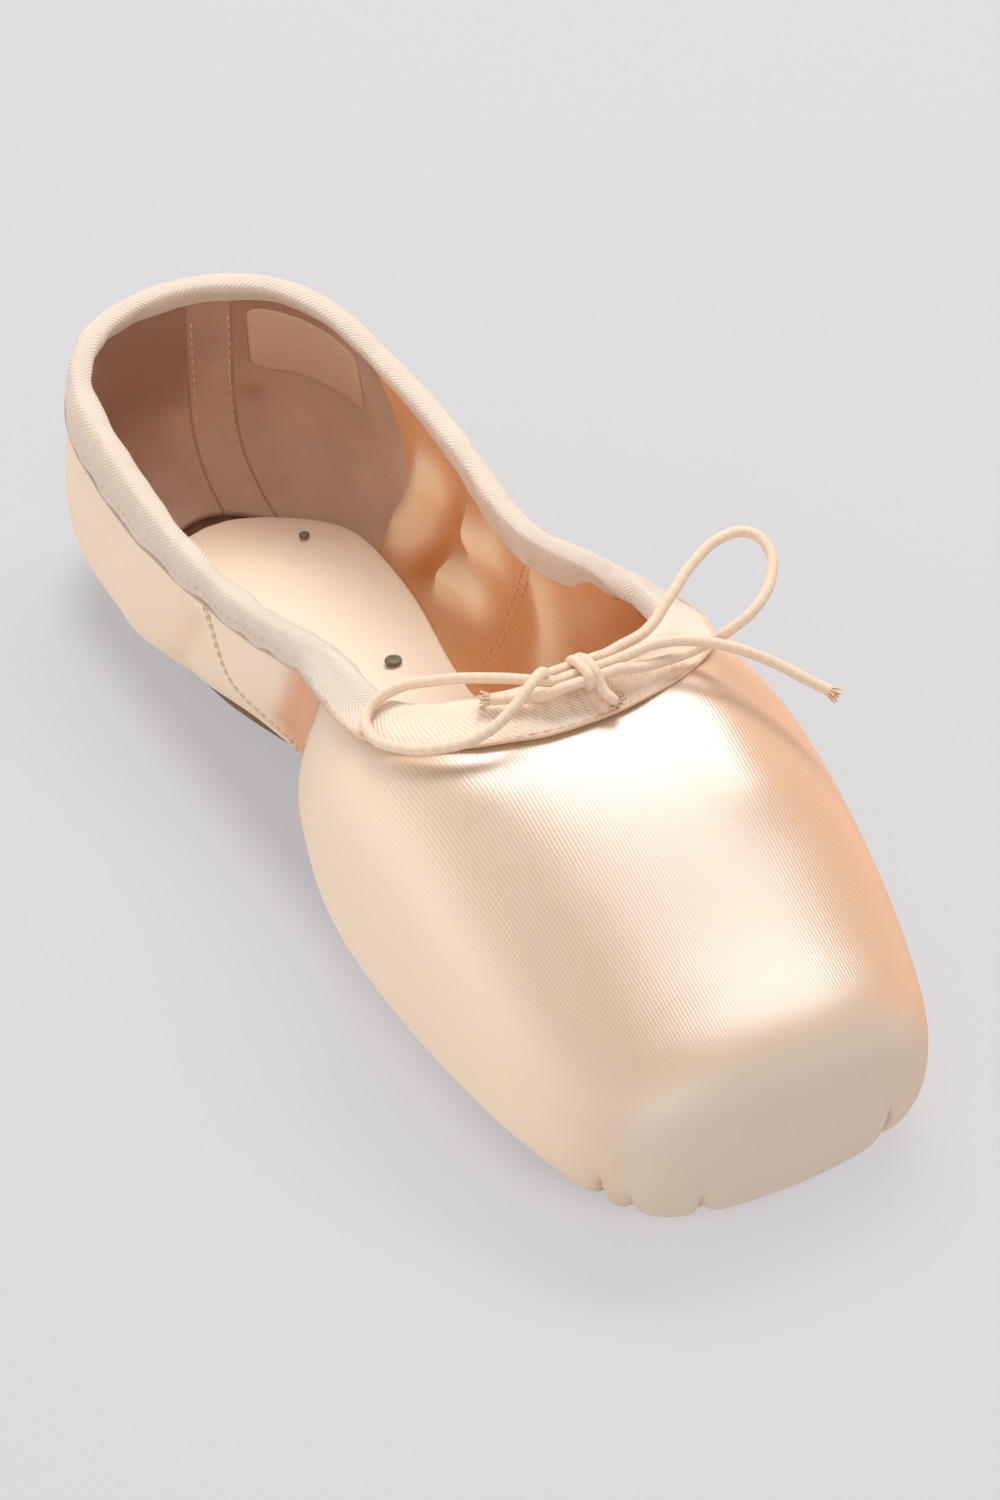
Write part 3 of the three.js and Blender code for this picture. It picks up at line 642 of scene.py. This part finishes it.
stitching = Finish("stitch_thread", 0.55, Sheen_Weight=0.2)
stitching.link("Base Color", stitching.mix(stitching.cloud(1.1), STITCH_DEEP, STITCH))
thread = stitching.material
for which, offset in (("front", -ROW_APART), ("rear", ROW_APART)):
    spots = on_skin(satin, left_row(-34, SEAM_HEIGHTS, offset), 0.08)
    stitch_row("seam_left_" + which, spots, 1.7, 1.15, STITCH_THICK, thread)
    spots = on_skin(satin, right_row(34, SEAM_HEIGHTS, offset), 0.08)
    stitch_row("seam_right_" + which, spots, 1.7, 1.15, STITCH_THICK, thread)
    spots = on_skin(satin, [(offset * 1.4, 122, z) for z in np.linspace(9, 43, 24)], 0.03)
    stitch_row("seam_back_" + which, spots, 1.9, 1.2, STITCH_THICK, thread)

# The lining: cotton glued to the satin. It is painted orange in the quarters, pale on its puffs
# as painted light and deep orange between them as painted shade, where it is loose and falls in
# puffs on the right side. The heel is covered by a dusky cup of cloth, with a strip down the back,
# and the cup is painted lighter low down, to the right and on its puffs, as painted light.
LINING = "#FFE3BC"
LINING_DEEP = "#D88844"
HEEL_LINING = "#D8B49C"
HEEL_LINING_DEEP = "#A0765C"
HEEL_EDGE = 72.5
HEEL_LEAN = 0.18
STRIP_AT = 8
STRIP_HALF = 4.3
INNER_ROW_APART = 0.9
INNER_STITCH_THICK = 0.45
PUFF_DEEPEST = -0.6
PUFFS = [
    {"from": (30, 65, 26), "to": (28, 71, 13), "wide": 5.0, "high": 4.2},
    {"from": (30, 51, 36), "to": (28.5, 52, 24), "wide": 4.0, "high": -0.8},
    {"from": (28.5, 52, 24), "to": (26, 61, 11), "wide": 4.0, "high": -0.8},
    {"from": (28, 35, 17), "to": (26.5, 50, 14), "wide": 4.4, "high": 4.0},
    {"from": (29, 32, 31), "to": (29, 44, 27), "wide": 4.5, "high": 2.2},
    {"from": (29, 14, 33), "to": (28, 8, 18), "wide": 6.0, "high": 1.8},
    {"from": (-28, 30, 18), "to": (-27, 44, 14), "wide": 5.0, "high": 1.6},
    {"from": (9, 112, 30), "to": (10, 104, 9), "wide": 2.2, "high": 1.7},
    {"from": (15, 110, 24), "to": (15, 103, 9), "wide": 2.4, "high": -1.0},
    {"from": (20, 100, 30), "to": (24, 90, 14), "wide": 5, "high": 1.0},
]
lining = copy_solid("upper", "lining")
keep_faces(lining, lambda centre, normal: not is_outside(centre, normal))
smooth_out(lining, 3)
place, normal = places_of(lining)
puffs = np.maximum(fold_height(place, PUFFS), PUFF_DEEPEST)
lift = puffs - fold_height(place, QUARTER_FOLDS)
set_map(lining, "folds", puffs, place[:, 2])
set_places(lining, draw_in(place + normal * lift[:, None]))
lining_finish = Finish("lining_cotton", 0.75, Sheen_Weight=0.2)
x, y, z = lining_finish.place()
weave = (x + y * 0.2).wave(0.7) * z.wave(0.7) * 0.5 + 0.5
fold = lining_finish.thread("folds")[0]
# Painted light and shade: the puffs are painted pale and the folds between them deep orange.
puffed = fold.rise(-0.7, 2.4) * 0.88 + lining_finish.cloud(14, 3).rise(0.3, 0.7) * 0.12
front = lining_finish.mix(puffed, LINING_DEEP, LINING)
# Painted light: the heel cup is painted lighter low down, to the right and on its puffs, over
# random blots.
lit = lining_finish.cloud(18, 3) * 0.8 + (22 - z) * 0.022 + x * 0.012 + fold * 0.25
heel = lining_finish.mix(lit.rise(0, 1), HEEL_LINING_DEEP, HEEL_LINING)
cup = (y - z * HEEL_LEAN).rise(HEEL_EDGE - 0.2, HEEL_EDGE + 0.2)
from_strip = abs(x - STRIP_AT)
at_back = y.rise(90, 92)
strip = from_strip.rise(STRIP_HALF, STRIP_HALF - 0.3) * at_back
edges = abs(from_strip - STRIP_HALF).rise(0.5, 0.1) * at_back
cloth = lining_finish.mix(cup, front, heel)
cloth = lining_finish.mix(strip * 0.3, cloth, HEEL_LINING)
lining_finish.link("Base Color", lining_finish.mix(edges * 0.6, cloth, HEEL_LINING_DEEP))
lining_finish.relief(weave * 0.15 + cup * 0.6 + strip * 0.4, 0.3)
lining.data.materials.append(lining_finish.material)
for which, offset in (("front", -INNER_ROW_APART), ("rear", INNER_ROW_APART)):
    spots = on_skin(lining, right_row(22, np.linspace(12, 38, 20), offset), 0.05)
    stitch_row("inner_seam_right_" + which, spots, 1.9, 1.2, INNER_STITCH_THICK, thread)
    spots = on_skin(lining, left_row(-22, np.linspace(12, 36, 20), offset), 0.05)
    stitch_row("inner_seam_left_" + which, spots, 1.9, 1.2, INNER_STITCH_THICK, thread)
    aside = STRIP_AT + offset * 3.9
    spots = on_skin(lining, [(aside, 111, z) for z in np.linspace(10, 43, 20)], 0.05)
    stitch_row("heel_strip_" + which, spots, 2.1, 1.2, STITCH_THICK, thread)
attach(lining, "root")

# The drawstring casing: bias tape in a fine twill, folded over the collar and puffed by the
# cord inside it. It ripples a little, where the cord has drawn it up.
TAPE = "#E8D8C6"
TAPE_SHADE = "#D4BCA4"
TAPE_PAINTED_THROAT_LIGHT = "#FFE6CC"
TWILL_PITCH = 0.9
TAPE_FLAT = 1.5
ROUND_STEPS = 98
HEM_STATIONS = 170
HEM_REACH = 2.2
HEM_ROW = 0.7
PIPING_THICK = 0.8
PIPING_DEEP = "#DDB28C"
PIPING_PALE = "#EBCBAC"
PIPING_SIDE_SEAM_AND_SHADE = "#BCA58D"
casing = copy_solid("casing", "tape_casing")
smooth_out(casing, 2)
place, normal = places_of(casing)
round_it, out = round_shoe(place)
bins = np.linspace(0, 194, ROUND_STEPS)
slot_of = np.clip(np.searchsorted(bins, round_it), 1, len(bins) - 1)
rim_out = np.zeros(len(bins))
rim_top = np.zeros(len(bins))
for i in range(1, len(bins)):
    inside_bin = np.nonzero(slot_of == i)[0]
    if len(inside_bin):
        top = inside_bin[np.argmax(place[inside_bin, 2])]
        rim_out[i] = out[top]
        rim_top[i] = place[top, 2]
filled = np.nonzero(rim_top)[0]
mids = (bins[filled] + bins[filled - 1]) / 2
over_out = out - np.interp(round_it, mids, rim_out[filled])
over_drop = np.interp(round_it, mids, rim_top[filled]) - place[:, 2]
tape_across = np.sign(over_out) * np.hypot(over_out, over_drop)
narrow = np.where(
    tape_across > 0,
    0.42 * ease(15, 45, round_it) * (1 - ease(100, 140, round_it)),
    0.5 * ease(90, 150, round_it),
)
place[:, 2] += np.maximum(over_drop - TAPE_FLAT, 0) * narrow
set_map(casing, "tape", tape_across, round_it)
side = np.where(place[:, 0] < 0, -1, 1)
along_side = zip(round_it, side)
ripple = np.array([noise.noise(Vector((r * 0.16, s * 7, 0.3))) for r, s in along_side])
small = np.array([noise.noise(Vector(p * 0.13)) for p in place])
at_throat = 1 - ease(20, 60, round_it)
lift = ripple * (0.5 - 0.2 * at_throat) + small * 0.4
lift = lift * ease(0.5, 4, np.abs(tape_across) + TAPE_FLAT)
set_places(casing, draw_in(place + normal * lift[:, None]))
tape_finish = Finish("tape_twill", 0.6, Sheen_Weight=0.3, Sheen_Roughness=0.4)
across, along = tape_finish.thread("tape")
chevron = abs(abs(across) - 3)
twill = (chevron + along).wave(TWILL_PITCH) * 0.5 + 0.5
shade = tape_finish.mix(tape_finish.cloud(12, 3) * 0.6, TAPE, TAPE_SHADE)
x, y, z = tape_finish.place()
# Painted light: the tape is painted warmer and brighter towards the throat.
shade = tape_finish.mix((y * -1).rise(20, 38) * 0.85, shade, TAPE_PAINTED_THROAT_LIGHT)
tape_finish.link("Base Color", tape_finish.mix(twill * 0.25, shade, TAPE_SHADE))
crumple = (tape_finish.cloud(1.7, 3) + along.wave(2.3) * 0.25) * (y * -1).rise(36, 46)
tape_finish.relief(twill * 0.1 + crumple * 0.4, 1.0)
casing.data.materials.append(tape_finish.material)


def evened(row):
    """A closed row of points, each drawn a little towards its neighbours."""
    return (np.roll(row, 1, 0) + np.array(row) * 2 + np.roll(row, -1, 0)) / 4


# The casing's hem is edged with a fine satin piping, which is darker and greyer along the sides,
# partly as the seam's dark line and partly as painted shadow along the casing's edge, and has one
# row of stitches just above it.
place = places_of(casing)[0]
half_turn = round_it.max()
loop = np.where(place[:, 0] < 0, round_it, 2 * half_turn - round_it)
hem = []
above_hem = []
for station in np.linspace(0, 2 * half_turn, HEM_STATIONS, endpoint=False):
    apart = np.abs((loop - station + half_turn) % (2 * half_turn) - half_turn)
    near = np.nonzero(apart < HEM_REACH)[0]
    low = place[near[np.argmax(tape_across[near])]]
    rim = place[near[np.argmax(place[near, 2])]]
    beyond = min(0, low[1] - FRONT_CENTRE) + max(0, low[1] - HEEL_CENTRE)
    away = np.array([low[0], beyond, 0])
    away /= np.linalg.norm(away)
    up = (rim - low) / np.linalg.norm(rim - low)
    hem.append(low + away * 0.1)
    above_hem.append(low + up * HEM_ROW + away * 1.5 + np.array((0, 0, 1.5)))
piping = straight_line("hem_piping", evened(hem), closed=True)
piping.data.bevel_depth = PIPING_THICK / 2 * MM
piping.data.bevel_resolution = 2
bpy.ops.object.select_all(action="DESELECT")
piping.select_set(True)
bpy.context.view_layer.objects.active = piping
bpy.ops.object.convert(target="MESH")
piping = bpy.context.object
bpy.ops.object.shade_smooth()
piping_finish = Finish("piping_satin", 0.4, Specular_IOR_Level=0.8)
x, y, z = piping_finish.place()
satin_edge = piping_finish.mix(piping_finish.cloud(3), PIPING_DEEP, PIPING_PALE)
# Partly painted shadow: the piping is painted darker along the sides, partly as the seam's dark
# line.
piping_finish.link("Base Color", piping_finish.mix(y.rise(-34, -14), satin_edge, PIPING_SIDE_SEAM_AND_SHADE))
piping_finish.relief(piping_finish.cloud(1.2), 0.2)
piping.data.materials.append(piping_finish.material)
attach(piping, "root")
spots = on_skin(casing, evened(above_hem), 0.0)
stitch_row("hem_stitches", spots, 2.3, 1.4, 0.32, thread, closed=True)
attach(casing, "root")
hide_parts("casing")

# The insole: a board under a pale woven cover, with a heel end that is round. The cover is a
# little darker towards its edge.
BOARD = "#FCEDD6"
BOARD_EDGE = "#F8DABA"
insole = copy_solid("insole", "insole_cover")
smooth_out(insole, 2)
insole_finish = Finish("insole_cloth", 0.78, Sheen_Weight=0.1)
x, y, z = insole_finish.place()
weave = x.wave(0.5) * y.wave(0.5) * 0.5 + 0.5
rim = abs(x).rise(14, 24) * 0.35 + y.rise(62, 98) * 0.5 + insole_finish.cloud(30, 3) * 0.15
insole_finish.link("Base Color", insole_finish.mix(rim, BOARD, BOARD_EDGE))
insole_finish.relief(weave, 0.04)
insole.data.materials.append(insole_finish.material)
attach(insole, "root")
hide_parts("insole")

# The outsole: one narrow piece of brown leather, grain side out, scuffed paler where it
# meets the floor. It stands out a little past the upper at the waist.
HIDE = "#9A6A45"
HIDE_DARK = "#6F472B"
HIDE_WORN = "#B48A63"
WAIST_AT = 46
WAIST_LONG = 24
WAIST_SPREAD = 4.0
WAIST_LIFT = 1.0
outsole = copy_solid("outsole", "leather_sole")
smooth_out(outsole, 2)
place = places_of(outsole)[0]
at_waist = np.exp(-(((place[:, 1] - WAIST_AT) / WAIST_LONG) ** 2))
spread = at_waist * ease(6, 15, np.abs(place[:, 0]))
place[:, 0] += np.sign(place[:, 0]) * spread * WAIST_SPREAD
place[:, 2] += spread * WAIST_LIFT
set_places(outsole, place)
leather = Finish("sole_leather", 0.6)
grain = leather.node("ShaderNodeTexVoronoi", {}, {"Scale": 900.0}, "Distance")
tone = leather.mix(leather.cloud(16, 4), HIDE_DARK, HIDE)
leather.link("Base Color", leather.mix(leather.cloud(5, 4).rise(0.5, 0.75) * 0.6, tone, HIDE_WORN))
leather.relief(grain * 0.5 + leather.cloud(2.2, 3) * 0.6, 0.12)
outsole.data.materials.append(leather.material)
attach(outsole, "root")
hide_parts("outsole")

# A plain woven label: a small patch of ribbed tape, sewn flat inside the heel on the right,
# just under the casing.
LABEL = "#D8B498"
LABEL_EDGE = "#C49D80"
LABEL_RAISED = 3
label = copy_solid("label", "woven_label")
smooth_out(label, 2)
place = places_of(label)[0]
place[:, 2] += ease(30, 43, place[:, 2]) * LABEL_RAISED
set_places(label, place)
label_finish = Finish("label_weave", 0.7)
x, y, z = label_finish.place()
ribs = z.wave(0.45) * 0.5 + 0.5
label_finish.link("Base Color", label_finish.mix(ribs * 0.4, LABEL, LABEL_EDGE))
label_finish.relief(ribs, 0.05)
label.data.materials.append(label_finish.material)
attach(label, "root")
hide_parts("label")

# Two tacks that hold the insole down: low steel heads, dulled to a grey green.
NAIL = "#8C8474"
NAIL_DARK = "#5E574A"
nail = Finish("tack_steel", 0.5, Metallic=0.5)
nail.link("Base Color", nail.mix(nail.cloud(0.9, 3), NAIL_DARK, NAIL))
nail.relief(nail.cloud(0.5, 3), 0.05)
for node in ("tack_waist", "tack_heel"):
    head = copy_solid(node, node + "_head")
    dome = head.modifiers.new("dome", "BEVEL")
    dome.width = 0.25 * MM
    dome.segments = 3
    bpy.ops.object.modifier_apply(modifier=dome.name)
    bpy.ops.object.shade_smooth_by_angle(angle=math.radians(50))
    head.data.materials.append(nail.material)
    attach(head, "root")
    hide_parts(node)

# The studio: a pale floor, lit from within, with a painted shadow round the shoe, a long lamp
# overhead to the right and behind, a wide low one at the left, a weak one in front, and a
# room that is dim overhead and brightest at the left.
FLOOR = "#5A5859"
FLOOR_PALE = "#666465"
FLOOR_GLOW = 0.72
FLOOR_LIGHT = "#E3E1E2"
FLOOR_SHADE = "#706A68"
SHOE_MIDDLE = 5
SHOE_STRAIGHT = 80
bpy.ops.object.select_all(action="DESELECT")
bpy.ops.mesh.primitive_plane_add(size=8, location=(0, 0, 0))
floor = bpy.context.object
floor.name = "studio_floor"
floor_finish = Finish("floor_paper", 0.9, Emission_Strength=FLOOR_GLOW)
x, y, z = floor_finish.place()
beyond = (abs(y - SHOE_MIDDLE) - SHOE_STRAIGHT).math("MAXIMUM", 0.0)
# Painted shadow: the floor's glow is painted darker near the shoe's footprint.
near = (x * x + beyond * beyond).math("SQRT").rise(39, 27)
floor_finish.link("Emission Color", floor_finish.mix(near * 0.3, FLOOR_LIGHT, FLOOR_SHADE))
floor_finish.link("Base Color", floor_finish.mix(floor_finish.cloud(900), FLOOR, FLOOR_PALE))
floor.data.materials.append(floor_finish.material)
LAMPS = [
    {"name": "lamp_key", "at": (0.36, 0.35, 1.0), "long": 0.95, "wide": 0.36, "power": 11.0},
    {"name": "lamp_left", "at": (-1.7, 0.3, 0.45), "long": 2.8, "wide": 1.6, "power": 8.0},
    {"name": "lamp_front", "at": (-0.5, -1.0, 1.2), "long": 1.4, "wide": 1.4, "power": 3.6},
]
for lamp in LAMPS:
    bpy.ops.object.light_add(type="AREA", location=lamp["at"])
    made = bpy.context.object
    made.name = lamp["name"]
    made.data.shape = "RECTANGLE"
    made.data.size = lamp["long"]
    made.data.size_y = lamp["wide"]
    made.data.energy = lamp["power"]
    made.rotation_euler = Vector(lamp["at"]).to_track_quat("Z", "Y").to_euler()
    made.visible_camera = False
ROOM = "#F2F2F4"
ROOM_HORIZON = 0.95
ROOM_OVERHEAD = 0.27
ROOM_LEFT = 1.35
ROOM_RIGHT = 0.9
world = bpy.data.worlds.new("studio")
bpy.context.scene.world = world
world.use_nodes = True
room = world.node_tree
upward = room.nodes.new("ShaderNodeSeparateXYZ")
fade = room.nodes.new("ShaderNodeMapRange")
room.links.new(room.nodes.new("ShaderNodeTexCoord").outputs["Generated"], upward.inputs[0])
room.links.new(upward.outputs["Z"], fade.inputs["Value"])
fade.inputs["From Min"].default_value = 0.1
fade.inputs["From Max"].default_value = 0.9
fade.inputs["To Min"].default_value = ROOM_HORIZON
fade.inputs["To Max"].default_value = ROOM_OVERHEAD
across_room = room.nodes.new("ShaderNodeMapRange")
room.links.new(upward.outputs["X"], across_room.inputs["Value"])
across_room.inputs["From Min"].default_value = -1.0
across_room.inputs["To Min"].default_value = ROOM_LEFT
across_room.inputs["To Max"].default_value = ROOM_RIGHT
both = room.nodes.new("ShaderNodeMath")
both.operation = "MULTIPLY"
room.links.new(fade.outputs["Result"], both.inputs[0])
room.links.new(across_room.outputs["Result"], both.inputs[1])
room.links.new(both.outputs[0], room.nodes["Background"].inputs["Strength"])
room.nodes["Background"].inputs["Color"].default_value = dye(ROOM)
bpy.context.scene.view_settings.view_transform = "Standard"
